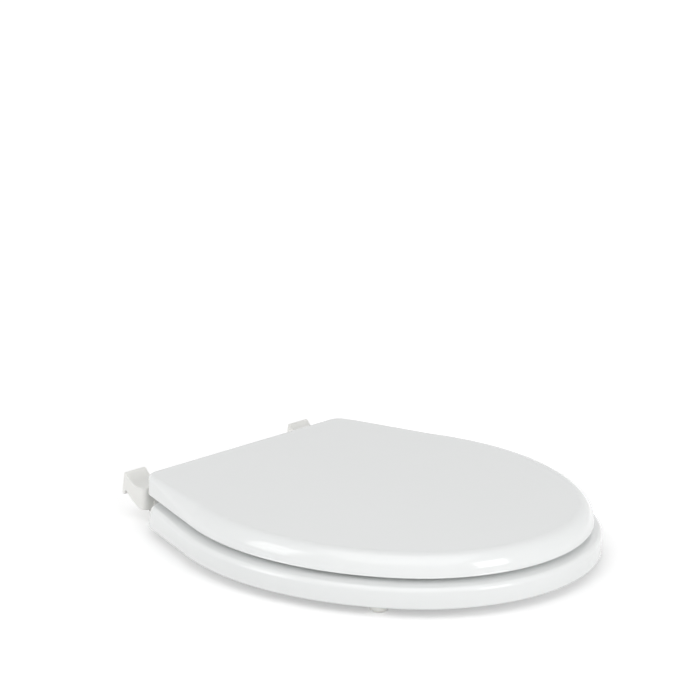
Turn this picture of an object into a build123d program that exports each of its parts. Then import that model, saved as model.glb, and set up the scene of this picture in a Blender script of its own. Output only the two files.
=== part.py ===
from build123d import *
from math import acos, atan2, cos, degrees, radians, sin, tan
import os

os.makedirs("parts", exist_ok=True)

# Toilet seat: an egg-shaped lid and ring of lacquered board on a soft-close hinge.
# Origin: midway between the two fixing holes, on the rim of the bowl that the seat stands on.
# +X is to the right seen from the front, +Y points back to the cistern, +Z is up. Millimetres.

# Hinge line and fixings
fixing_spacing = 155.0
axis_height = 28.0
side_gap = 0.4
running_clearance = 0.06
seat_clearance = 0.1
board_hole_clearance = 0.05

# Lid board
lid_half_width = 181.0
lid_side_radius = 247.0
lid_rear_half_width = 130.5
lid_rear_setback = 20.0
lid_widest_setback = 208.0
lid_front_setback = 422.5
lid_thickness = 20.0
lid_edge_radius = 15.0
lid_rear_edge_radius = 5.0
lid_taper_front_inset = 3.587
lid_taper_back_inset = 11.209
lid_corner_radius = 16.0
underside_edge_radius = 0.8

# Ring board, a little larger than the lid round the front and sides, and shorter at the back
ring_overhang = 7.8
ring_rear_spread = 12.0
ring_rear_inset = 8.5
ring_thickness = 22.5
ring_edge_radius = 5.0
ring_crown_drop = 3.3
ring_crown_width = 16.0
ring_crown_radius = 40.0
ring_foot_radius = 2.0
opening_half_width = 110.0
opening_front_band = 68.0
opening_rear_setback = 92.0
opening_widest_setback = 214.0
opening_edge_radius = 9.0

# Buffers, each with a peg that is pushed into a drilled hole
seat_buffer_height = 8.5
seat_buffer_radius = 8.8
seat_buffer_rounding = 3.4
lid_buffer_height = 3.5
lid_buffer_radius = 9.6
lid_buffer_rounding = 1.6
buffer_peg_radius = 4.0
buffer_peg_length = 9.0
lid_buffer_gap = 0.3
lid_buffer_side_inset = 63.0
lid_buffer_front_inset = 90.5
seat_buffer_front_side_inset = 55.4
seat_buffer_front_inset = 95.1
seat_buffer_rear_side_inset = 42.8
seat_buffer_rear_inset = 83.5

# Hinge segments along the line, from the middle outwards
lid_knuckle_inner = 38.0
lid_knuckle_length = 13.0
post_length = 47.0
arm_block_length = 26.0

# Lid bracket
lid_knuckle_radius = 12.0
knuckle_edge_radius = 1.0
bracket_bar_radius = 8.5
flange_thickness = 3.5
bracket_flange_reach = 46.0
flange_corner_radius = 8.0

# Seat arms: depths in front of the hinge line and heights over it
arm_front_depth = 12.5
arm_front_height = 7.2
arm_bottom_drop = 15.7
arm_heel_depth = 5.0
arm_belly_bulge = 1.5
arm_scoop_depth = 4.7
arm_horn_height = 17.0
arm_horn_thickness = 2.5
arm_horn_back = 17.9
arm_notch_back = 16.0
arm_notch_drop = 0.8
arm_lip_back = 21.6
arm_lip_thickness = 3.5
arm_lip_drop = 5.4
arm_edge_radius = 6.0
arm_rim_radius = 0.8
arm_flange_reach = 48.0
arm_flange_width = 15.0
arm_web_depth = 8.0

# Hinge posts, their pads and threaded inserts
post_barrel_radius = 13.0
post_edge_radius = 1.5
post_end_wall = 10.0
pad_thickness = 2.0
insert_radius = 5.5
insert_length = 16.5
insert_recess = 0.3
insert_thread_radius = 3.4

# Rotary dampers and plain pivot pins
damper_radius = 8.5
damper_wall = 2.0
damper_floor = 3.0
damper_cap_thickness = 3.0
damper_cap_spigot = 2.0
damper_key_width = 3.0
damper_key_height = 1.6
rotor_neck_radius = 4.0
rotor_neck_room = 3.2
rotor_flat = 2.8
drive_depth = 11.5
seal_section_radius = 1.15
pin_radius = 4.0
pin_depth = 12.0

# Countersunk wood screws
screw_shank_radius = 1.9
screw_head_radius = 3.8
screw_head_angle = 90.0
screw_length = 15.0
screw_point_length = 3.0
screw_point_radius = 0.4
screw_cross_width = 1.0
screw_cross_length = 4.2
screw_cross_depth = 1.1
bracket_screw_x = 34.0
screw_first_setback = 11.0
screw_pitch = 22.0

# Heights and places that follow from the sizes above
ring_bottom = seat_buffer_height
ring_top = ring_bottom + ring_thickness
ring_shoulder = ring_top - ring_crown_drop
lid_bottom = ring_top + lid_buffer_gap + lid_buffer_height
lid_top = lid_bottom + lid_thickness
ring_half_width = lid_half_width + ring_overhang
ring_side_radius = lid_side_radius + ring_overhang
ring_rear_half_width = lid_rear_half_width + ring_rear_spread
ring_rear_setback = lid_rear_setback + ring_rear_inset
ring_front_setback = lid_front_setback + ring_overhang
ring_corner_radius = lid_corner_radius + ring_rear_spread
opening_front_setback = ring_front_setback - opening_front_band
lid_knuckle_outer = lid_knuckle_inner + lid_knuckle_length
post_inner = lid_knuckle_outer + side_gap
post_outer = post_inner + post_length
arm_inner = post_outer + side_gap
fixing_x = fixing_spacing / 2
damper_length = post_length - post_end_wall
case_length = damper_length - damper_cap_thickness
case_bore = damper_radius - damper_wall
case_bore_depth = case_length - damper_floor
rotor_body_radius = case_bore - running_clearance
rotor_body_length = case_bore_depth - damper_cap_spigot - rotor_neck_room - side_gap
rotor_bore = rotor_neck_radius + running_clearance
pin_bore = pin_radius + running_clearance
drive_bore = rotor_neck_radius + seat_clearance
drive_flat = rotor_flat + seat_clearance
bracket_flange_front = lid_rear_setback + bracket_flange_reach
bracket_flange_bottom = lid_bottom - flange_thickness
arm_flange_front = ring_rear_setback + arm_flange_reach
arm_flange_bottom = ring_bottom - flange_thickness
insert_top = insert_recess + insert_length
rotor_body_start = damper_cap_thickness + damper_cap_spigot + rotor_neck_room
seal_place = damper_cap_thickness + damper_cap_spigot + rotor_neck_room / 2
seal_mid_radius = (rotor_neck_radius + case_bore) / 2
screw_head_depth = (screw_head_radius - screw_shank_radius) / tan(radians(screw_head_angle / 2))
bracket_screws = [
    (x, -(lid_rear_setback + screw_first_setback + row * screw_pitch))
    for x in (-bracket_screw_x, bracket_screw_x)
    for row in (0, 1)
]
arm_screw_x = arm_inner + arm_flange_width / 2
arm_screw_setbacks = [ring_rear_setback + screw_first_setback + row * screw_pitch for row in (0, 1)]
lid_buffer_x = lid_half_width - lid_buffer_side_inset
lid_buffer_setback = lid_front_setback - lid_buffer_front_inset
seat_buffer_front_x = ring_half_width - seat_buffer_front_side_inset
seat_buffer_front_setback = ring_front_setback - seat_buffer_front_inset
seat_buffer_rear_x = ring_half_width - seat_buffer_rear_side_inset
seat_buffer_rear_setback = ring_rear_setback + seat_buffer_rear_inset
lid_buffer_places = {
    "left": (-lid_buffer_x, -lid_buffer_setback),
    "right": (lid_buffer_x, -lid_buffer_setback),
}
seat_buffer_places = {
    "front_left": (-seat_buffer_front_x, -seat_buffer_front_setback),
    "front_right": (seat_buffer_front_x, -seat_buffer_front_setback),
    "rear_left": (-seat_buffer_rear_x, -seat_buffer_rear_setback),
    "rear_right": (seat_buffer_rear_x, -seat_buffer_rear_setback),
}
sides = {"left": -1, "right": 1}
# The left damper slows the lid, so its post opens inwards; the right one slows the ring and opens outwards
post_mouths = {"left": -post_inner, "right": post_outer}
into_post = -1


def flank_bearing(half_width, side_radius, widest, rear, rear_half_width):
    """Outward bearing, in degrees from +X, of the straight flank between a side arc and the back corner."""
    along = rear_half_width - half_width + side_radius
    back = widest - rear
    return degrees(atan2(back, along) - acos(side_radius / Vector(along, back).length))


def egg_sketch(half_width, side_radius, front, widest, rear, rear_half_width, corner_radius):
    """Egg outline: a nose arc, two side arcs tangent to it, and straight flanks to a rounded back edge."""
    reach = front - widest
    nose_radius = (half_width**2 + reach**2 - 2 * side_radius * half_width) / (2 * (reach - side_radius))
    nose_centre = Vector(0, nose_radius - front)
    side_centre = Vector(half_width - side_radius, -widest)
    nose_end = degrees(atan2(nose_centre.Y - side_centre.Y, nose_centre.X - side_centre.X))
    side_end = flank_bearing(half_width, side_radius, widest, rear, rear_half_width)
    corner = Vector(rear_half_width, -rear)
    with BuildSketch() as outline:
        with BuildLine():
            CenterArc(nose_centre, nose_radius, -90, 90 + nose_end)
            side = CenterArc(side_centre, side_radius, nose_end, side_end - nose_end)
            Line(side @ 1, corner)
            mirror(about=Plane.YZ)
            Line(corner, (-corner.X, corner.Y))
        make_face()
        fillet(outline.vertices().group_by(Axis.Y)[-1], corner_radius)
    return outline.sketch


def across_axis(x):
    """Plane square to the hinge line at x, with Y across and Z up, centred on the line."""
    return Plane(origin=(x, 0, axis_height), x_dir=(0, 1, 0), z_dir=(1, 0, 0))


def drive_sketch(radius, flat):
    """Round section with one flat on top, for the rotor's drive end and the hole that it turns."""
    with BuildSketch() as section:
        Circle(radius)
        with Locations((0, flat)):
            Rectangle(2 * radius, 2 * radius, align=(Align.CENTER, Align.MIN), mode=Mode.SUBTRACT)
    return section.sketch


def screw_group(places, head_height):
    """Countersunk wood screws, point up, with a cross recess in each head."""
    stand = (Align.CENTER, Align.CENTER, Align.MIN)
    with BuildPart() as screws:
        with Locations(*[(x, y, head_height) for x, y in places]):
            Cylinder(screw_shank_radius, screw_length - screw_point_length, align=stand)
            Cone(screw_head_radius, screw_shank_radius, screw_head_depth, align=stand)
        with Locations(*[(x, y, head_height + screw_length - screw_point_length) for x, y in places]):
            Cone(screw_shank_radius, screw_point_radius, screw_point_length, align=stand)
        with BuildSketch(Plane.XY.offset(head_height)):
            with Locations(*places):
                Rectangle(screw_cross_length, screw_cross_width)
                Rectangle(screw_cross_width, screw_cross_length)
        extrude(amount=screw_cross_depth, mode=Mode.SUBTRACT)
    return screws.part


def lid_board(edge_radius):
    """The lid's whole board with one rounding along its upper edge."""
    with BuildPart() as board:
        with BuildSketch(Plane.XY.offset(lid_bottom)):
            add(
                egg_sketch(
                    lid_half_width,
                    lid_side_radius,
                    lid_front_setback,
                    lid_widest_setback,
                    lid_rear_setback,
                    lid_rear_half_width,
                    lid_corner_radius,
                )
            )
        extrude(amount=lid_thickness)
        fillet(board.faces().sort_by(Axis.Z)[-1].edges(), edge_radius)
    return board.part


def lid_section(setback, edge_radius):
    """Upright section across the lid where its flanks are straight, with both upper corners rounded."""
    half = lid_rear_half_width + (setback - lid_rear_setback) * tan(lid_flank)
    across = edge_radius / cos(lid_flank)
    with BuildSketch() as section:
        with BuildLine():
            Polyline(
                (-half, lid_top - edge_radius),
                (-half, lid_bottom),
                (half, lid_bottom),
                (half, lid_top - edge_radius),
            )
            right = EllipticalCenterArc(
                (half - across, lid_top - edge_radius), across, edge_radius, start_angle=0, arc_size=90
            )
            left = EllipticalCenterArc(
                (across - half, lid_top - edge_radius), across, edge_radius, start_angle=90, arc_size=90
            )
            Line(right @ 1, left @ 0)
        make_face()
    return section.sketch


# Lid: one board, flat below, whose broad rounded upper edge tightens along the flanks towards the back.
# The taper keeps within the straight part of the flanks, between the side arcs and the back corners.
lid_flank = radians(
    flank_bearing(lid_half_width, lid_side_radius, lid_widest_setback, lid_rear_setback, lid_rear_half_width)
)
lid_taper_start = lid_widest_setback - lid_side_radius * sin(lid_flank) - lid_taper_front_inset
lid_taper_end = lid_rear_setback + lid_corner_radius * (1 - sin(lid_flank)) + lid_taper_back_inset
with BuildPart() as lid_front:
    add(lid_board(lid_edge_radius))
    split(bisect_by=Plane.XZ.offset(lid_taper_start), keep=Keep.TOP)
with BuildPart() as lid_back:
    add(lid_board(lid_rear_edge_radius))
    split(bisect_by=Plane.XZ.offset(lid_taper_end), keep=Keep.BOTTOM)
with BuildPart() as lid:
    with BuildSketch(Plane.XZ.offset(lid_taper_start)):
        add(lid_section(lid_taper_start, lid_edge_radius))
    with BuildSketch(Plane.XZ.offset(lid_taper_end)):
        add(lid_section(lid_taper_end, lid_rear_edge_radius))
    loft(ruled=True)
    add(lid_front.part)
    add(lid_back.part)
    fillet(lid.faces().sort_by(Axis.Z)[0].edges(), underside_edge_radius)
    with BuildSketch(Plane.XY.offset(lid_bottom)):
        with Locations(*lid_buffer_places.values()):
            Circle(buffer_peg_radius + board_hole_clearance)
    extrude(amount=buffer_peg_length + seat_clearance, mode=Mode.SUBTRACT)
    with BuildSketch(Plane.XY.offset(lid_bottom)):
        with Locations(*bracket_screws):
            Circle(screw_shank_radius + board_hole_clearance)
    extrude(amount=screw_length - flange_thickness + seat_clearance, mode=Mode.SUBTRACT)
lid.part.label = "lid"
export_step(lid.part, "parts/lid.step")

# Ring: a board of the same family with a crowned top, an oval opening and rounded edges
with BuildPart() as seat_ring:
    with BuildSketch(Plane.XY.offset(ring_bottom)):
        add(
            egg_sketch(
                ring_half_width,
                ring_side_radius,
                ring_front_setback,
                lid_widest_setback,
                ring_rear_setback,
                ring_rear_half_width,
                ring_corner_radius,
            )
        )
        with BuildLine():
            EllipticalCenterArc(
                (0, -opening_widest_setback),
                opening_half_width,
                opening_front_setback - opening_widest_setback,
                start_angle=180,
                arc_size=180,
            )
            EllipticalCenterArc(
                (0, -opening_widest_setback),
                opening_half_width,
                opening_widest_setback - opening_rear_setback,
                start_angle=0,
                arc_size=180,
            )
        make_face(mode=Mode.SUBTRACT)
    extrude(amount=ring_thickness)
    top = seat_ring.faces().sort_by(Axis.Z)[-1]
    chamfer(top.outer_wire().edges(), ring_crown_width, ring_crown_drop, reference=top)
    shoulder = seat_ring.edges().group_by(lambda edge: round(abs(edge.center().Z - ring_shoulder), 3))[0]
    fillet(shoulder, ring_edge_radius)
    fillet(seat_ring.faces().sort_by(Axis.Z)[-1].outer_wire().edges(), ring_crown_radius)
    fillet(seat_ring.faces().sort_by(Axis.Z)[-1].inner_wires()[0].edges(), opening_edge_radius)
    fillet(seat_ring.faces().sort_by(Axis.Z)[0].edges(), ring_foot_radius)
    with BuildSketch(Plane.XY.offset(ring_bottom)):
        with Locations(*seat_buffer_places.values()):
            Circle(buffer_peg_radius + board_hole_clearance)
    extrude(amount=buffer_peg_length + seat_clearance, mode=Mode.SUBTRACT)
    with BuildSketch(Plane.XY.offset(ring_bottom)):
        with Locations(*[(side * arm_screw_x, -y) for side in sides.values() for y in arm_screw_setbacks]):
            Circle(screw_shank_radius + board_hole_clearance)
    extrude(amount=screw_length - flange_thickness + seat_clearance, mode=Mode.SUBTRACT)
seat_ring.part.label = "seat_ring"
export_step(seat_ring.part, "parts/seat_ring.step")

# Lid buffers: low domed studs that meet the ring when the lid is down
for name, place in lid_buffer_places.items():
    with BuildPart() as lid_buffer:
        with BuildSketch(Plane.XY.offset(lid_bottom - lid_buffer_height)):
            with Locations(place):
                Circle(lid_buffer_radius)
        extrude(amount=lid_buffer_height)
        fillet(lid_buffer.faces().sort_by(Axis.Z)[0].edges(), lid_buffer_rounding)
        with BuildSketch(Plane.XY.offset(lid_bottom)):
            with Locations(place):
                Circle(buffer_peg_radius)
        extrude(amount=buffer_peg_length)
    lid_buffer.part.label = f"lid_buffer_{name}"
    export_step(lid_buffer.part, f"parts/lid_buffer_{name}.step")

# Seat buffers: taller rounded studs that carry the ring on the bowl
for name, place in seat_buffer_places.items():
    with BuildPart() as seat_buffer:
        with BuildSketch():
            with Locations(place):
                Circle(seat_buffer_radius)
        extrude(amount=seat_buffer_height)
        fillet(seat_buffer.faces().sort_by(Axis.Z)[0].edges(), seat_buffer_rounding)
        with BuildSketch(Plane.XY.offset(ring_bottom)):
            with Locations(place):
                Circle(buffer_peg_radius)
        extrude(amount=buffer_peg_length)
    seat_buffer.part.label = f"seat_buffer_{name}"
    export_step(seat_buffer.part, f"parts/seat_buffer_{name}.step")

# Lid bracket: two knuckles joined by a bar, with a flange screwed under the lid
with BuildPart() as lid_bracket:
    with BuildSketch(across_axis(-lid_knuckle_outer)):
        Circle(lid_knuckle_radius)
    extrude(amount=lid_knuckle_length)
    with BuildSketch(across_axis(lid_knuckle_inner)):
        Circle(lid_knuckle_radius)
    extrude(amount=lid_knuckle_length)
    fillet(lid_bracket.edges().filter_by(GeomType.CIRCLE), knuckle_edge_radius)
    with BuildSketch(across_axis(-lid_knuckle_inner)):
        Circle(bracket_bar_radius)
    extrude(amount=2 * lid_knuckle_inner)
    with BuildSketch(Plane.XY.offset(bracket_flange_bottom)):
        with BuildLine():
            Polyline(
                (-lid_knuckle_outer, 0),
                (-lid_knuckle_outer, -bracket_flange_front),
                (lid_knuckle_outer, -bracket_flange_front),
                (lid_knuckle_outer, 0),
                close=True,
            )
        flange = make_face()
        fillet(flange.vertices().group_by(Axis.Y)[0], flange_corner_radius)
    extrude(amount=flange_thickness)
    with BuildSketch(across_axis(-lid_knuckle_outer)):
        add(drive_sketch(drive_bore, drive_flat))
    extrude(amount=drive_depth + seat_clearance, mode=Mode.SUBTRACT)
    with BuildSketch(across_axis(lid_knuckle_outer)):
        Circle(pin_radius)
    extrude(amount=-pin_depth - seat_clearance, mode=Mode.SUBTRACT)
    with Locations(Plane(origin=(0, 0, bracket_flange_bottom), x_dir=(1, 0, 0), z_dir=(0, 0, -1))):
        with Locations(*[(x, -y) for x, y in bracket_screws]):
            CounterSinkHole(
                screw_shank_radius + seat_clearance,
                screw_head_radius + seat_clearance,
                flange_thickness,
                screw_head_angle,
            )
lid_bracket.part.label = "lid_bracket"
export_step(lid_bracket.part, "parts/lid_bracket.step")

# Seat arms: a hinge block at each end of the line, and a strap screwed under the ring
for name, side in sides.items():
    with BuildPart() as seat_arm:
        with BuildSketch(across_axis(side * arm_inner)):
            with BuildLine():
                front = Polyline(
                    (-arm_heel_depth, -arm_bottom_drop),
                    (-arm_front_depth, -arm_bottom_drop),
                    (-arm_front_depth, arm_front_height),
                )
                horn = Polyline(
                    (arm_horn_back - arm_horn_thickness, arm_horn_height),
                    (arm_horn_back, arm_horn_height),
                    (arm_lip_back, -arm_lip_drop),
                    (arm_lip_back - arm_lip_thickness, -arm_lip_drop),
                    (arm_notch_back, -arm_notch_drop),
                )
                SagittaArc(front @ 1, horn @ 0, -arm_scoop_depth)
                SagittaArc(horn @ 1, front @ 0, arm_belly_bulge)
            make_face()
        extrude(amount=side * arm_block_length)
        front_corner = seat_arm.edges().filter_by(Axis.Z).group_by(Axis.Y)[0].sort_by(Axis.X)
        fillet(front_corner[0 if side < 0 else -1], arm_edge_radius)
        end_face = seat_arm.faces().filter_by(Axis.X).sort_by(Axis.X)[0 if side < 0 else -1]
        fillet(end_face.edges(), arm_rim_radius)
        with BuildSketch(across_axis(side * arm_inner)):
            with BuildLine():
                Polyline(
                    (-arm_flange_front, arm_flange_bottom - axis_height),
                    (-ring_rear_setback, arm_flange_bottom - axis_height),
                    (-arm_heel_depth, -arm_bottom_drop),
                    (-arm_front_depth, arm_web_depth - arm_bottom_drop),
                    (-ring_rear_setback, ring_bottom - axis_height),
                    (-arm_flange_front, ring_bottom - axis_height),
                    close=True,
                )
            make_face()
        extrude(amount=side * arm_flange_width)
        if name == "left":
            with BuildSketch(across_axis(side * arm_inner)):
                Circle(pin_radius)
            extrude(amount=side * (pin_depth + seat_clearance), mode=Mode.SUBTRACT)
        else:
            with BuildSketch(across_axis(side * arm_inner)):
                add(drive_sketch(drive_bore, drive_flat))
            extrude(amount=side * (drive_depth + seat_clearance), mode=Mode.SUBTRACT)
        with Locations(Plane(origin=(0, 0, arm_flange_bottom), x_dir=(1, 0, 0), z_dir=(0, 0, -1))):
            with Locations(*[(side * arm_screw_x, setback) for setback in arm_screw_setbacks]):
                CounterSinkHole(
                    screw_shank_radius + seat_clearance,
                    screw_head_radius + seat_clearance,
                    flange_thickness,
                    screw_head_angle,
                )
    seat_arm.part.label = f"seat_arm_{name}"
    export_step(seat_arm.part, f"parts/seat_arm_{name}.step")

# Hinge posts: arched blocks on the bowl, bored for a damper and tapped below for the fixing bolt
for name, side in sides.items():
    mouth = post_mouths[name]
    with BuildPart() as hinge_post:
        with BuildSketch(across_axis(side * post_inner)):
            Circle(post_barrel_radius)
            Rectangle(2 * post_barrel_radius, axis_height - pad_thickness, align=(Align.CENTER, Align.MAX))
        extrude(amount=side * post_length)
        arches = hinge_post.edges().filter_by(GeomType.CIRCLE)
        fillet(hinge_post.edges().filter_by(Axis.Z) + arches, post_edge_radius)
        with BuildSketch(across_axis(mouth)):
            Circle(damper_radius + seat_clearance)
            Rectangle(
                damper_key_width + 2 * seat_clearance,
                damper_radius + damper_key_height + seat_clearance,
                align=(Align.CENTER, Align.MIN),
            )
        extrude(amount=into_post * damper_length, mode=Mode.SUBTRACT)
        with BuildSketch(across_axis(mouth)):
            Circle(pin_bore)
        extrude(amount=into_post * post_length, mode=Mode.SUBTRACT)
        with BuildSketch(Plane.XY.offset(pad_thickness)):
            with Locations((side * fixing_x, 0)):
                Circle(insert_radius)
        extrude(amount=insert_top - pad_thickness, mode=Mode.SUBTRACT)
    hinge_post.part.label = f"hinge_post_{name}"
    export_step(hinge_post.part, f"parts/hinge_post_{name}.step")

# Foot pads: soft gaskets between the posts and the bowl
for name, side in sides.items():
    with BuildPart() as foot_pad:
        with BuildSketch():
            with Locations((side * (post_inner + post_outer) / 2, 0)):
                RectangleRounded(post_length, 2 * post_barrel_radius, post_edge_radius)
            with Locations((side * fixing_x, 0)):
                Circle(insert_radius + seat_clearance, mode=Mode.SUBTRACT)
        extrude(amount=pad_thickness)
    foot_pad.part.label = f"foot_pad_{name}"
    export_step(foot_pad.part, f"parts/foot_pad_{name}.step")

# Threaded inserts: brass sleeves in the posts for the fixing bolts
for name, side in sides.items():
    with BuildPart() as insert:
        with BuildSketch(Plane.XY.offset(insert_recess)):
            with Locations((side * fixing_x, 0)):
                Circle(insert_radius)
                Circle(insert_thread_radius, mode=Mode.SUBTRACT)
        extrude(amount=insert_length)
    insert.part.label = f"threaded_insert_{name}"
    export_step(insert.part, f"parts/threaded_insert_{name}.step")

# Rotary dampers: a keyed case, a cap, and a plain rotor that shears thick grease, sealed by a ring
for name, mouth in post_mouths.items():
    with BuildPart() as damper_case:
        with BuildSketch(across_axis(mouth + into_post * damper_cap_thickness)):
            Circle(damper_radius)
            Rectangle(
                damper_key_width,
                damper_radius + damper_key_height,
                align=(Align.CENTER, Align.MIN),
            )
        extrude(amount=into_post * case_length)
        with BuildSketch(across_axis(mouth + into_post * damper_cap_thickness)):
            Circle(case_bore)
        extrude(amount=into_post * case_bore_depth, mode=Mode.SUBTRACT)
    damper_case.part.label = f"damper_case_{name}"
    export_step(damper_case.part, f"parts/damper_case_{name}.step")

    with BuildPart() as damper_cap:
        with BuildSketch(across_axis(mouth)):
            Circle(damper_radius)
        extrude(amount=into_post * damper_cap_thickness)
        with BuildSketch(across_axis(mouth + into_post * damper_cap_thickness)):
            Circle(case_bore - board_hole_clearance)
        extrude(amount=into_post * damper_cap_spigot)
        with BuildSketch(across_axis(mouth)):
            Circle(rotor_bore)
        extrude(amount=into_post * (damper_cap_thickness + damper_cap_spigot), mode=Mode.SUBTRACT)
    damper_cap.part.label = f"damper_cap_{name}"
    export_step(damper_cap.part, f"parts/damper_cap_{name}.step")

    with BuildPart() as damper_rotor:
        with BuildSketch(across_axis(mouth + into_post * rotor_body_start)):
            Circle(rotor_body_radius)
        extrude(amount=into_post * rotor_body_length)
        with BuildSketch(across_axis(mouth - into_post * side_gap)):
            Circle(rotor_neck_radius)
        extrude(amount=into_post * (rotor_body_start + side_gap))
        with BuildSketch(across_axis(mouth - into_post * side_gap)):
            add(drive_sketch(rotor_neck_radius, rotor_flat))
        extrude(amount=-into_post * drive_depth)
    damper_rotor.part.label = f"damper_rotor_{name}"
    export_step(damper_rotor.part, f"parts/damper_rotor_{name}.step")

    with BuildPart() as damper_seal:
        with BuildSketch(Plane.XZ):
            with Locations((mouth + into_post * seal_place, axis_height + seal_mid_radius)):
                Circle(seal_section_radius)
        revolve(axis=Axis((0, 0, axis_height), (1, 0, 0)))
    damper_seal.part.label = f"damper_seal_{name}"
    export_step(damper_seal.part, f"parts/damper_seal_{name}.step")

# Pivot pins: plain steel pins at the closed end of each post
for name, mouth in post_mouths.items():
    with BuildPart() as pivot_pin:
        with BuildSketch(across_axis(mouth + into_post * (damper_length + side_gap))):
            Circle(pin_radius)
        extrude(amount=into_post * (post_end_wall + pin_depth))
    pivot_pin.part.label = f"pivot_pin_{name}"
    export_step(pivot_pin.part, f"parts/pivot_pin_{name}.step")

# Countersunk screws: four under the lid bracket, two under each seat arm
bracket_screw_set = screw_group(bracket_screws, bracket_flange_bottom)
bracket_screw_set.label = "lid_bracket_screws"
export_step(bracket_screw_set, "parts/lid_bracket_screws.step")
for name, side in sides.items():
    arm_screw_set = screw_group([(side * arm_screw_x, -y) for y in arm_screw_setbacks], arm_flange_bottom)
    arm_screw_set.label = f"seat_arm_screws_{name}"
    export_step(arm_screw_set, f"parts/seat_arm_screws_{name}.step")
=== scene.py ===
import math
import bpy
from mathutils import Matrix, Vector


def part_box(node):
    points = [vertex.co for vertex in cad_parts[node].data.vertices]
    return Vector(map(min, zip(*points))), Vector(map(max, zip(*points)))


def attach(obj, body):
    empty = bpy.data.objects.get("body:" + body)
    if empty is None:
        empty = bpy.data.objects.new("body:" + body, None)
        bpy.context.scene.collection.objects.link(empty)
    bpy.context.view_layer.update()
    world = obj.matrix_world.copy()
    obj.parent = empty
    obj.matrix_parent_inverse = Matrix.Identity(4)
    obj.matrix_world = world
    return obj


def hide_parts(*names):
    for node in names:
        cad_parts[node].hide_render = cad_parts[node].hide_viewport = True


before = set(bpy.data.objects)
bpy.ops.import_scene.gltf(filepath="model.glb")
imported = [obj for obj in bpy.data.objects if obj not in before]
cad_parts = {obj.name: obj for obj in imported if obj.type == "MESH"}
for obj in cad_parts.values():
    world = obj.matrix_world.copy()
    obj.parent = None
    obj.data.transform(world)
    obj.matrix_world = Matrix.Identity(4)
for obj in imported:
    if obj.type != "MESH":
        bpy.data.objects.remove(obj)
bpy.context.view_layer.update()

# Lid
# One egg-shaped board of moulded wood, flat below. Its broad rounded edge tightens towards the back.
# It is sprayed all over with white gloss lacquer, and its bracket is screwed on from below.
MM = 0.001
LID_SIDE_RADIUS = 247 * MM
LID_REAR_HALF_WIDTH = 130.5 * MM
LID_WIDEST = 208 * MM
LID_CORNER_RADIUS = 16 * MM
LID_EDGE_WIDTH = 15 * MM
LID_REAR_EDGE_WIDTH = 5 * MM
LID_TAPER_START = -124 * MM
LID_TAPER_END = -42 * MM
LID_UNDERSIDE_RADIUS = 0.8 * MM
LID_EDGE_SEGMENTS = 20
FOOT_SEGMENTS = 4
OUTLINE_STEP = 3.5 * MM
FLAT_MARGIN = 3 * MM
LACQUER_WHITE = (0.855, 0.868, 0.866)
LACQUER_SHADE = (0.835, 0.850, 0.846)
MIX_SHARE = 0
MIX_FIRST = 6
MIX_SECOND = 7
MIX_COLOUR = 2


def arc_run(centre, radius, first, last):
    """Outline samples along an arc: place and outward bearing, the last point left to the next run."""
    count = max(2, round(abs(last - first) * radius / OUTLINE_STEP))
    samples = []
    for index in range(count):
        bearing = first + (last - first) * index / count
        x = centre.x + radius * math.cos(bearing)
        y = centre.y + radius * math.sin(bearing)
        samples.append((x, y, bearing))
    return samples


def straight_run(start, end, bearing):
    """Outline samples along a straight edge with one outward bearing, the last point left out."""
    count = max(2, round((end - start).length / OUTLINE_STEP))
    return [(*start.lerp(end, index / count), bearing) for index in range(count)]


def both_sides(right_half):
    """The whole outline from its right half, which runs from the nose to the middle of the back."""
    left_half = [(-x, y, math.pi - bearing) for x, y, bearing in reversed(right_half[1:-1])]
    return right_half + left_half


def egg_outline(half_width, side_radius, front, widest, rear, rear_half_width, corner_radius):
    """Egg outline: a nose arc, side arcs tangent to it, straight flanks and a rounded back edge."""
    reach = front - widest
    nose_radius = (half_width**2 + reach**2 - 2 * side_radius * half_width) / (2 * (reach - side_radius))
    nose = Vector((0, nose_radius - front))
    side = Vector((half_width - side_radius, -widest))
    nose_end = math.atan2(nose.y - side.y, nose.x - side.x)
    to_corner = Vector((rear_half_width, -rear)) - side
    side_end = math.atan2(to_corner.y, to_corner.x) - math.acos(side_radius / to_corner.length)
    outward = Vector((math.cos(side_end), math.sin(side_end)))
    corner_y = -rear - corner_radius
    corner_x = side.x + (side_radius - corner_radius - (corner_y - side.y) * outward.y) / outward.x
    corner = Vector((corner_x, corner_y))
    flank_start = side + outward * side_radius
    flank_end = corner + outward * corner_radius
    back_start = Vector((corner.x, -rear))
    back_middle = Vector((0, -rear))
    right_half = arc_run(nose, nose_radius, -math.pi / 2, nose_end)
    right_half += arc_run(side, side_radius, nose_end, side_end)
    right_half += straight_run(flank_start, flank_end, side_end)
    right_half += arc_run(corner, corner_radius, side_end, math.pi / 2)
    right_half += straight_run(back_start, back_middle, math.pi / 2)
    right_half.append((*back_middle, math.pi / 2))
    return both_sides(right_half)


def quarter_round(width, height, segments):
    """Quarter of an ellipse as pairs of inset and drop, from the wall up to the flat face."""
    turns = [math.pi / 2 * index / segments for index in range(segments + 1)]
    return [(width * (1 - math.cos(turn)), height * (1 - math.sin(turn))) for turn in turns]


def foot_profile(bottom, radius):
    """Pairs of inset and height from a board's flat underside round its lower edge."""
    edge = quarter_round(radius, radius, FOOT_SEGMENTS)
    return [(radius + FLAT_MARGIN, bottom)] + [(inset, bottom + drop) for inset, drop in reversed(edge)]


def share_between(value, first, last):
    """How far a value lies from the first towards the last, from 0 to 1."""
    return min(1, max(0, (value - first) / (last - first)))


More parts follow.
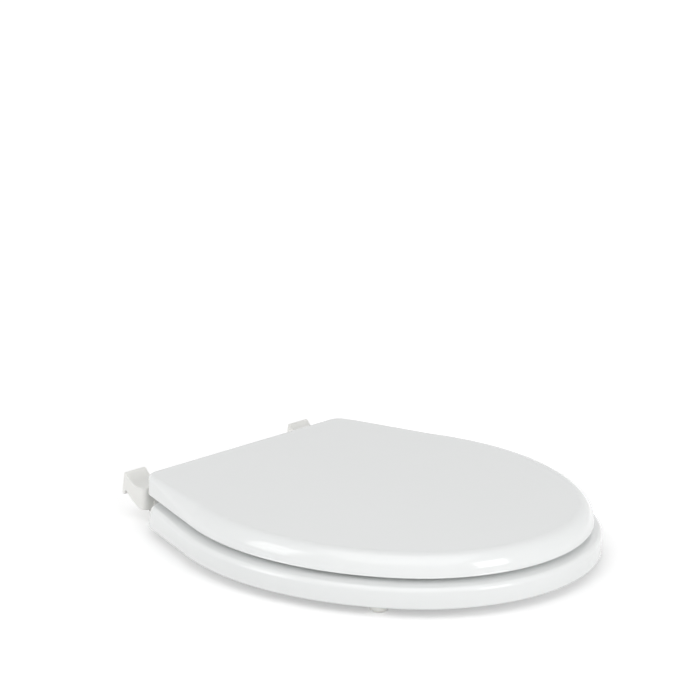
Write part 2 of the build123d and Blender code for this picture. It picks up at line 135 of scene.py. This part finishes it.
def lid_profile(y, bottom, top):
    """Pairs of inset and height round the lid's edge at this depth: broad in front, tight at the back."""
    share = share_between(y, LID_TAPER_START, LID_TAPER_END)
    width = LID_EDGE_WIDTH + (LID_REAR_EDGE_WIDTH - LID_EDGE_WIDTH) * share
    tall = top - bottom - LID_UNDERSIDE_RADIUS
    height = tall + (LID_REAR_EDGE_WIDTH - tall) * share
    edge = [(inset, top - drop) for inset, drop in quarter_round(width, height, LID_EDGE_SEGMENTS)]
    return foot_profile(bottom, LID_UNDERSIDE_RADIUS) + edge + [(width + FLAT_MARGIN, top)]


def rim_rings(outline, profiles):
    """Rings of points round the outline, one for each pair of the profile at each of its points."""
    columns = []
    for (x, y, bearing), profile in zip(outline, profiles):
        inward = Vector((-math.cos(bearing), -math.sin(bearing)))
        columns.append([(x + inset * inward.x, y + inset * inward.y, height) for inset, height in profile])
    return list(zip(*columns))


def skin_between(faces, first, second, count):
    """Quads between two rings that start at these vertex numbers."""
    for index in range(count):
        after = (index + 1) % count
        faces.append((first + index, first + after, second + after, second + index))


def smooth_piece(name, points, faces):
    """A smooth-shaded mesh object in the scene."""
    mesh = bpy.data.meshes.new(name)
    mesh.from_pydata(points, [], faces)
    mesh.polygons.foreach_set("use_smooth", [True] * len(mesh.polygons))
    mesh.update()
    piece = bpy.data.objects.new(name, mesh)
    bpy.context.scene.collection.objects.link(piece)
    return piece


class Shade:
    """A socket of a finish's node tree: arithmetic on it adds Math nodes."""

    def __init__(self, finish, socket):
        self.finish = finish
        self.socket = socket

    def output(self, name):
        """Another output of the same node."""
        return Shade(self.finish, self.socket.node.outputs[name])

    def math(self, operation, first, second):
        return self.finish.node("ShaderNodeMath", {"operation": operation}, {0: first, 1: second})

    def __add__(self, other):
        return self.math("ADD", self, other)

    def __radd__(self, other):
        return self.math("ADD", other, self)

    def __sub__(self, other):
        return self.math("SUBTRACT", self, other)

    def __rsub__(self, other):
        return self.math("SUBTRACT", other, self)

    def __mul__(self, other):
        return self.math("MULTIPLY", self, other)

    def __rmul__(self, other):
        return self.math("MULTIPLY", other, self)


class Finish:
    """The nodes of one procedural material, or of the studio's surround."""

    def __init__(self, holder, shader="Principled BSDF"):
        holder.use_nodes = True
        self.holder = holder
        self.tree = holder.node_tree
        self.shader = self.tree.nodes[shader]

    def node(self, kind, settings=None, sockets=None):
        """Adds a node: its settings first, then the values or links of its sockets."""
        made = self.tree.nodes.new(kind)
        for name, value in (settings or {}).items():
            setattr(made, name, value)
        for key, value in (sockets or {}).items():
            self.feed(made.inputs[key], value)
        return Shade(self, made.outputs[0])

    def feed(self, socket, value):
        """Links a shade to a socket, or sets the socket to a plain value."""
        if isinstance(value, Shade):
            self.tree.links.new(value.socket, socket)
        else:
            socket.default_value = value

    def noise(self, scale, detail, roughness=0.5):
        """Fractal noise over the piece's own coordinates, from 0 to 1."""
        place = self.node("ShaderNodeTexCoord").output("Object")
        sockets = {"Vector": place, "Scale": scale, "Detail": detail, "Roughness": roughness}
        return self.node("ShaderNodeTexNoise", None, sockets).output("Fac")

    def blend(self, share, first, second):
        """A colour between two others."""
        sockets = {MIX_SHARE: share, MIX_FIRST: (*first, 1), MIX_SECOND: (*second, 1)}
        mixed = self.node("ShaderNodeMix", {"data_type": "RGBA"}, sockets)
        return Shade(self, mixed.socket.node.outputs[MIX_COLOUR])

    def rise(self, value, first, last):
        """A smooth rise from 0 to 1 while the value goes from the first to the last."""
        sockets = {"Value": value, "From Min": first, "From Max": last}
        return self.node("ShaderNodeMapRange", {"interpolation_type": "SMOOTHSTEP"}, sockets)

    def bump(self, height, distance):
        """A normal that is bumped by a height from 0 to 1 over this distance in metres."""
        return self.node("ShaderNodeBump", None, {"Height": height, "Distance": distance})

    def surface(self, **sockets):
        """Feeds the shader's sockets, with _ for each space in a socket's name."""
        for name, value in sockets.items():
            self.feed(self.shader.inputs[name.replace("_", " ")], value)
        return self.holder


def new_finish(name):
    return Finish(bpy.data.materials.new(name))


def lacquer_finish():
    """White gloss lacquer: faint clouding of tone, a soft ripple of the film, slightly uneven gloss."""
    lacquer = new_finish("white_gloss_lacquer")
    clouds = lacquer.noise(scale=9, detail=3)
    ripple = lacquer.noise(scale=210, detail=2)
    return lacquer.surface(
        Base_Color=lacquer.blend(clouds, LACQUER_WHITE, LACQUER_SHADE),
        Roughness=0.09 + 0.05 * clouds,
        Normal=lacquer.bump(ripple, 0.03 * MM),
        IOR=1.5,
        Coat_Weight=0.3,
        Coat_Roughness=0.04,
    )


white_lacquer = lacquer_finish()
lid_low, lid_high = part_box("lid")
lid_outline = egg_outline(
    lid_high[0],
    LID_SIDE_RADIUS,
    -lid_low[1],
    LID_WIDEST,
    -lid_high[1],
    LID_REAR_HALF_WIDTH,
    LID_CORNER_RADIUS,
)
lid_rings = rim_rings(lid_outline, [lid_profile(y, lid_low[2], lid_high[2]) for x, y, bearing in lid_outline])
lid_points = [point for ring in lid_rings for point in ring]
lid_faces = []
around = len(lid_outline)
for row in range(len(lid_rings) - 1):
    skin_between(lid_faces, row * around, (row + 1) * around, around)
lid_faces.append(tuple(reversed(range(around))))
lid_faces.append(tuple(range((len(lid_rings) - 1) * around, len(lid_rings) * around)))
lid_board = smooth_piece("lid_board", lid_points, lid_faces)
lid_board.data.materials.append(white_lacquer)
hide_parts("lid")
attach(lid_board, "lid")

# Seat ring
# A second board of the same moulded wood and lacquer, a little larger than the lid, with a crowned top.
# Its oval opening has rounded edges, and it hangs on two arms that are screwed on from below.
RING_OVERHANG = 7.8 * MM
RING_REAR_SPREAD = 12 * MM
RING_EDGE_RADIUS = 5 * MM
RING_EDGE_SEGMENTS = 14
RING_CROWN_DROP = 3.3 * MM
RING_CROWN_WIDTH = 16 * MM
RING_CROWN_RADIUS = 40 * MM
RING_CROWN_SEGMENTS = 6
RING_FOOT_RADIUS = 2 * MM
RING_REAR_LEAN = 4 * MM
RING_LEAN_START = -110 * MM
RING_LEAN_END = -50 * MM
OPENING_EDGE_RADIUS = 9 * MM
OPENING_EDGE_SEGMENTS = 18
OPENING_HALF_WIDTH = 110 * MM
OPENING_WIDEST = 214 * MM
OPENING_FRONT_BAND = 68 * MM
OPENING_REAR = 92 * MM


def opening_outline(half_width, front, widest, rear, count):
    """Two half ellipses that meet at the widest place, with bearings that point into the opening's wall."""
    samples = []
    for index in range(count):
        turn = -math.pi / 2 + 2 * math.pi * index / count
        depth = front - widest if math.sin(turn) < 0 else widest - rear
        x = half_width * math.cos(turn)
        y = -widest + depth * math.sin(turn)
        bearing = math.atan2(math.sin(turn) / depth, math.cos(turn) / half_width) + math.pi
        samples.append((x, y, bearing))
    return samples


def ring_edge_profile(y, bottom, top):
    """Pairs of inset and height round the ring at this depth; its wall leans in at the back corners."""
    slope = math.atan2(RING_CROWN_DROP, RING_CROWN_WIDTH)
    lift = RING_EDGE_RADIUS * (math.tan(slope) - 1 / math.cos(slope))
    centre = top - RING_CROWN_DROP + lift
    crown_end = RING_CROWN_WIDTH + RING_CROWN_RADIUS * math.tan(slope / 2)
    pairs = foot_profile(bottom, RING_FOOT_RADIUS)
    for index in range(RING_EDGE_SEGMENTS + 1):
        turn = (math.pi / 2 - slope) * index / RING_EDGE_SEGMENTS
        pairs.append((RING_EDGE_RADIUS * (1 - math.cos(turn)), centre + RING_EDGE_RADIUS * math.sin(turn)))
    for index in range(RING_CROWN_SEGMENTS + 1):
        turn = slope * (1 - index / RING_CROWN_SEGMENTS)
        drop = RING_CROWN_RADIUS * (1 - math.cos(turn))
        pairs.append((crown_end - RING_CROWN_RADIUS * math.sin(turn), top - drop))
    pairs.append((crown_end + FLAT_MARGIN, top))
    lean = RING_REAR_LEAN * share_between(y, RING_LEAN_START, RING_LEAN_END) / (top - bottom)
    return [(inset + lean * (height - bottom), height) for inset, height in pairs]


def opening_edge_profile(bottom, top):
    """Pairs of inset and height round the opening: foot, wall and rounded upper edge."""
    radius = OPENING_EDGE_RADIUS
    edge = [(inset, top - drop) for inset, drop in quarter_round(radius, radius, OPENING_EDGE_SEGMENTS)]
    return foot_profile(bottom, RING_FOOT_RADIUS) + edge + [(radius + FLAT_MARGIN, top)]


ring_low, ring_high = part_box("seat_ring")
ring_outline = egg_outline(
    ring_high[0],
    LID_SIDE_RADIUS + RING_OVERHANG,
    -ring_low[1],
    LID_WIDEST,
    -ring_high[1],
    LID_REAR_HALF_WIDTH + RING_REAR_SPREAD,
    LID_CORNER_RADIUS + RING_REAR_SPREAD,
)
around = len(ring_outline)
hole_outline = opening_outline(
    OPENING_HALF_WIDTH,
    -ring_low[1] - OPENING_FRONT_BAND,
    OPENING_WIDEST,
    OPENING_REAR,
    around,
)
ring_profiles = [ring_edge_profile(y, ring_low[2], ring_high[2]) for x, y, bearing in ring_outline]
outer_rings = rim_rings(ring_outline, ring_profiles)
hole_rings = rim_rings(hole_outline, [opening_edge_profile(ring_low[2], ring_high[2])] * around)
ring_rings = outer_rings + hole_rings[::-1]
ring_points = [point for ring in ring_rings for point in ring]
ring_faces = []
for row in range(len(ring_rings)):
    skin_between(ring_faces, row * around, (row + 1) % len(ring_rings) * around, around)
ring_board = smooth_piece("ring_board", ring_points, ring_faces)
ring_board.data.materials.append(white_lacquer)
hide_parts("seat_ring")
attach(ring_board, "seat")

# Buffers
# Two low studs under the lid and four taller ones under the ring, moulded in soft ivory plastic.
# Each has a peg that is pushed into a hole drilled in the board.
BUFFER_IVORY = (0.92, 0.918, 0.88)
BUFFER_SHADE = (0.90, 0.895, 0.85)


def buffer_finish():
    """Soft plastic: slightly clouded ivory with a fine matt skin."""
    soft = new_finish("soft_ivory_plastic")
    clouds = soft.noise(scale=120, detail=3)
    grain = soft.noise(scale=1500, detail=2)
    return soft.surface(
        Base_Color=soft.blend(clouds, BUFFER_IVORY, BUFFER_SHADE),
        Roughness=0.42 + 0.16 * grain,
        Normal=soft.bump(grain, 0.04 * MM),
        Subsurface_Weight=0.1,
        Subsurface_Radius=(0.003, 0.0025, 0.002),
    )


def dress(node, material):
    """Gives a CAD piece its finish."""
    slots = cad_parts[node].data.materials
    slots.clear()
    slots.append(material)


soft_ivory = buffer_finish()
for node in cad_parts:
    if "buffer" in node:
        dress(node, soft_ivory)

# Hinge mouldings
# The posts that stand on the bowl, the arms under the ring and the bracket under the lid.
# They are injection moulded in ivory plastic with a satin gloss.
HINGE_MOULDINGS = (
    "hinge_post_left",
    "hinge_post_right",
    "seat_arm_left",
    "seat_arm_right",
    "lid_bracket",
)
HINGE_IVORY = (0.90, 0.90, 0.878)
HINGE_SHADE = (0.878, 0.875, 0.845)


def hinge_finish():
    """Moulded plastic: even ivory, satin gloss, with the faint unevenness of a polished tool."""
    plastic = new_finish("ivory_hinge_plastic")
    clouds = plastic.noise(scale=60, detail=3)
    skin = plastic.noise(scale=700, detail=2)
    return plastic.surface(
        Base_Color=plastic.blend(clouds, HINGE_IVORY, HINGE_SHADE),
        Roughness=0.26 + 0.10 * skin,
        Normal=plastic.bump(skin, 0.03 * MM),
        IOR=1.49,
    )


hinge_ivory = hinge_finish()
for node in HINGE_MOULDINGS:
    dress(node, hinge_ivory)

# Foot pads
# Thin gaskets of closed-cell foam between the posts and the bowl, die cut with a hole for the insert.
FOAM_PALE = (0.62, 0.62, 0.60)
FOAM_DARK = (0.50, 0.50, 0.485)


def foam_finish():
    """Closed-cell foam: pale grey with fine pores."""
    foam = new_finish("pale_foam")
    pores = foam.noise(scale=2600, detail=4, roughness=0.7)
    return foam.surface(
        Base_Color=foam.blend(pores, FOAM_PALE, FOAM_DARK),
        Roughness=0.80 + 0.15 * pores,
        Normal=foam.bump(pores, 0.15 * MM),
    )


pale_foam = foam_finish()
for side in ("left", "right"):
    dress(f"foot_pad_{side}", pale_foam)

# Screws and pivot pins
# Zinc-plated countersunk wood screws hold the bracket and the arms to the boards.
# Ground steel pins carry the plain ends of the hinge, pressed into the bracket and the left arm.
STEEL_TONES = {
    "zinc_plate": ((0.62, 0.63, 0.65), (0.50, 0.51, 0.54)),
    "ground_steel": ((0.60, 0.60, 0.61), (0.52, 0.52, 0.53)),
}


def steel_finish(name, bright, dull):
    """Steel: metal with cloudy tone and fine brushed roughness."""
    steel = new_finish(name)
    clouds = steel.noise(scale=320, detail=4)
    return steel.surface(
        Base_Color=steel.blend(clouds, bright, dull),
        Metallic=1.0,
        Roughness=0.24 + 0.18 * clouds,
        Normal=steel.bump(steel.noise(scale=2400, detail=2), 0.02 * MM),
    )


steels = {name: steel_finish(name, *tones) for name, tones in STEEL_TONES.items()}
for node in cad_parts:
    if "screws" in node:
        dress(node, steels["zinc_plate"])
    elif node.startswith("pivot_pin"):
        dress(node, steels["ground_steel"])

# Threaded inserts
# Turned brass sleeves, set into the posts for the bolts that hold the seat to the bowl.
BRASS_BRIGHT = (0.72, 0.54, 0.24)
BRASS_DULL = (0.55, 0.40, 0.17)


def brass_finish():
    """Turned brass: warm metal with a thin uneven tarnish."""
    brass = new_finish("turned_brass")
    tarnish = brass.noise(scale=260, detail=4)
    return brass.surface(
        Base_Color=brass.blend(tarnish, BRASS_BRIGHT, BRASS_DULL),
        Metallic=1.0,
        Roughness=0.28 + 0.2 * tarnish,
    )


turned_brass = brass_finish()
for side in ("left", "right"):
    dress(f"threaded_insert_{side}", turned_brass)

# Dampers
# Dark moulded cases and caps, natural acetal rotors and black rubber sealing rings, all inside the posts.
DAMPER_TONES = {
    "dark_case_plastic": ((0.045, 0.045, 0.05), (0.03, 0.03, 0.033), 0.45),
    "natural_acetal": ((0.70, 0.70, 0.67), (0.63, 0.63, 0.60), 0.35),
    "black_rubber": ((0.02, 0.02, 0.02), (0.012, 0.012, 0.012), 0.6),
}
DAMPER_PIECES = {
    "damper_case": "dark_case_plastic",
    "damper_cap": "dark_case_plastic",
    "damper_rotor": "natural_acetal",
    "damper_seal": "black_rubber",
}


def damper_finish(name, light, dark, roughness):
    """Moulded inner piece: two close tones and a fine skin."""
    moulded = new_finish(name)
    skin = moulded.noise(scale=900, detail=3)
    return moulded.surface(
        Base_Color=moulded.blend(skin, light, dark),
        Roughness=roughness + 0.15 * skin,
        Normal=moulded.bump(skin, 0.03 * MM),
    )


damper_finishes = {name: damper_finish(name, *tones) for name, tones in DAMPER_TONES.items()}
for piece, finish_name in DAMPER_PIECES.items():
    for side in ("left", "right"):
        dress(f"{piece}_{side}", damper_finishes[finish_name])

# Studio
# A white paper floor in a white surround, soft lamps at the left, in front and overhead,
# and the camera at the photograph's angle.
FLOOR_HALF_SIZE = 6.0
FLOOR_BOUNCE = 0.80
FLOOR_SEEN = 0.82
# Painted shade: the floor's glow is lower in an oval round the seat and rises outside it, so the floor is
# painted darker close to the seat, on top of its real shadow.
GLOW = 0.31
PAINTED_SHADE_LIFT = 0.11
GLOW_GAIN_AWAY = 0.30
PAINTED_SHADE_CENTRE = (0.0, -0.2, 0.0)
PAINTED_SHADE_SPREAD = (0.19, 0.23, 1.0)
PAINTED_SHADE_FADE_BAND = (0.95, 1.18)
GLOW_BAND_AWAY = (1.18, 3.5)
SURROUND_STRENGTH = 1.62
SURROUND_LOW = 1.0
SURROUND_HIGH = 0.205
SURROUND_BAND = 0.5
LAMPS = {
    "left_softbox": ((-1.9, 0.8, 1.0), (0.9, 1.3), 8.4),
    "front_softbox": ((0.0, -2.4, 0.84), (0.8, 1.0), 11.2),
    "upper_softbox": ((-0.95, -0.95, 2.55), (3.0, 3.0), 28.0),
}
LAMP_AIM = Vector((0, -0.2, 0.03))
CAMERA_AIM = Vector((-0.0795, -0.2463, 0.2112))
CAMERA_TURN = math.radians(45.58)
CAMERA_RISE = math.radians(15.53)
CAMERA_DISTANCE = 2.3583
FOCAL_PIXELS = 2615.9
FRAME_PIXELS = 700
SENSOR_WIDTH = 36.0
CAMERA_REACH = 50.0


def facing(place, aim):
    """Rotation of a lamp or camera at this place that looks at the aim."""
    return (aim - place).to_track_quat("-Z", "Y").to_euler()


def looked_at(finish):
    """1 for rays that show the surface itself, seen, mirrored or through glass, and 0 for its light."""
    path = finish.node("ShaderNodeLightPath")
    mirrored = path.output("Is Glossy Ray")
    passed = path.output("Is Transmission Ray")
    either = path.math("MAXIMUM", mirrored, passed)
    return path.math("MAXIMUM", path.output("Is Camera Ray"), either)


def paper_finish():
    """White paper whose glow and light together give white away from the seat; close to the seat the glow is
    weaker, a painted shade round the seat on top of its real shadow. It is clear from below, to show the
    underside.
    """
    paper = new_finish("white_paper")
    place = paper.node("ShaderNodeTexCoord").output("Object")
    aside = paper.node("ShaderNodeVectorMath", {"operation": "SUBTRACT"}, {0: place, 1: PAINTED_SHADE_CENTRE})
    spread = paper.node("ShaderNodeVectorMath", {"operation": "DIVIDE"}, {0: aside, 1: PAINTED_SHADE_SPREAD})
    distance = paper.node("ShaderNodeVectorMath", {"operation": "LENGTH"}, {0: spread}).output("Value")
    painted_shade_fade = paper.rise(distance, *PAINTED_SHADE_FADE_BAND)
    away = paper.rise(distance, *GLOW_BAND_AWAY)
    from_below = paper.node("ShaderNodeNewGeometry").output("Backfacing")
    looked = looked_at(paper)
    # The glow is weakest close to the seat: painted shade round the seat, added to its real shadow.
    glow = looked * (GLOW + PAINTED_SHADE_LIFT * painted_shade_fade + GLOW_GAIN_AWAY * away)
    return paper.surface(
        Base_Color=paper.blend(looked, (FLOOR_BOUNCE,) * 3, (FLOOR_SEEN,) * 3),
        Emission_Color=paper.blend(glow, (0, 0, 0), (1, 1, 1)),
        Emission_Strength=1.0,
        Alpha=1 - from_below,
        Roughness=1.0,
        Specular_IOR_Level=0.0,
    )


def surround_light():
    """The white walls: bright near the floor and dimmer above, but plain white where they are seen."""
    surround = Finish(bpy.data.worlds.new("surround"), "Background")
    direction = surround.node("ShaderNodeTexCoord").output("Generated")
    height = surround.node("ShaderNodeSeparateXYZ", None, {"Vector": direction}).output("Z")
    above = surround.rise(height, 0.0, SURROUND_BAND)
    light = SURROUND_LOW + (SURROUND_HIGH - SURROUND_LOW) * above
    level = light + (1 / SURROUND_STRENGTH - light) * looked_at(surround)
    colour = surround.blend(level, (0, 0, 0), (1, 1, 1))
    return surround.surface(Color=colour, Strength=SURROUND_STRENGTH)


reach = FLOOR_HALF_SIZE
floor_corners = [(-reach, -reach, 0), (reach, -reach, 0), (reach, reach, 0), (-reach, reach, 0)]
floor = smooth_piece("floor", floor_corners, [(0, 1, 2, 3)])
floor.data.materials.append(paper_finish())

bpy.context.scene.world = surround_light()

for name, (place, size, power) in LAMPS.items():
    lamp = bpy.data.lights.new(name, "AREA")
    lamp.shape = "RECTANGLE"
    lamp.size, lamp.size_y = size
    lamp.energy = power
    holder = bpy.data.objects.new(name, lamp)
    holder.location = place
    holder.rotation_euler = facing(Vector(place), LAMP_AIM)
    bpy.context.scene.collection.objects.link(holder)

towards_camera = Vector((
    -math.sin(CAMERA_TURN) * math.cos(CAMERA_RISE),
    -math.cos(CAMERA_TURN) * math.cos(CAMERA_RISE),
    math.sin(CAMERA_RISE),
))
lens = bpy.data.cameras.new("camera")
lens.sensor_width = SENSOR_WIDTH
lens.lens = FOCAL_PIXELS / FRAME_PIXELS * SENSOR_WIDTH
lens.clip_end = CAMERA_REACH
camera = bpy.data.objects.new("camera", lens)
camera.location = CAMERA_AIM + CAMERA_DISTANCE * towards_camera
camera.rotation_euler = facing(camera.location, CAMERA_AIM)
bpy.context.scene.collection.objects.link(camera)
bpy.context.scene.camera = camera
bpy.context.scene.view_settings.view_transform = "Standard"
